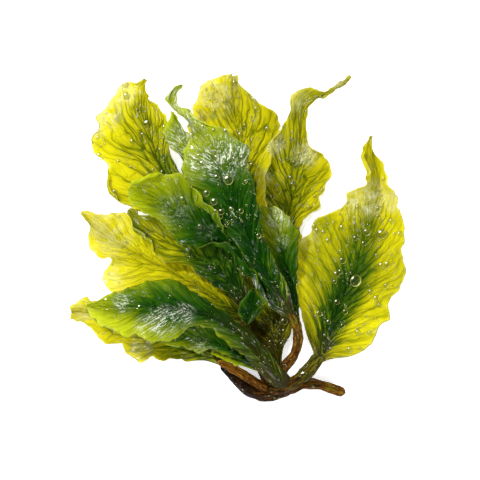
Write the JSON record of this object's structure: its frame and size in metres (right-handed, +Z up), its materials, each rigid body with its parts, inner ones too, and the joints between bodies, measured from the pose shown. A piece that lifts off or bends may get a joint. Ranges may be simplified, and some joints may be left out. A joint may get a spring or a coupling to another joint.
{
  "type": "seaweed",
  "caption": "Small tuft of fresh seaweed lying flat: broad translucent yellow-green blades with ruffled edges on dark round stipes that grow from a creeping rhizome.",
  "frame": {"origin": "the point of the surface below the middle of the tuft's box, as it lies", "axes": "+Z up from the surface that it lies on, -Y towards the rhizome, +Y towards the blade tips, +X towards the big right blade"},
  "size_m": [0.1185, 0.1156, 0.0286],
  "materials": {
    "yellow_blade": "wet, glossy and translucent, bright yellow with fine olive veins, dark green towards the base",
    "green_blade": "wet, glossy and a little translucent, deep green with a lighter lime margin and white wet glints",
    "stipe": "wet, dark red-brown to amber stem with fine lengthwise ridges"
  },
  "bodies": {
    "root": {"rhizome": "stipe", "right_stipe": "stipe", "left_stipe": "stipe", "back_stipe": "stipe", "main_stem": "stipe", "front_stipe": "stipe", "centre_stipe": "stipe", "right_blade": "yellow_blade", "upper_right_blade": "yellow_blade", "upper_blade": "yellow_blade", "upper_left_blade": "yellow_blade", "left_blade": "yellow_blade", "inner_left_blade": "green_blade", "lower_left_blade": "yellow_blade", "lower_middle_blade": "green_blade", "lower_front_blade": "green_blade", "left_front_blade": "green_blade", "centre_blade": "green_blade", "pointed_blade": "green_blade", "small_right_blade": "green_blade", "small_folded_blade": "green_blade", "small_lower_blade": "green_blade"}
  },
  "joints": []
}
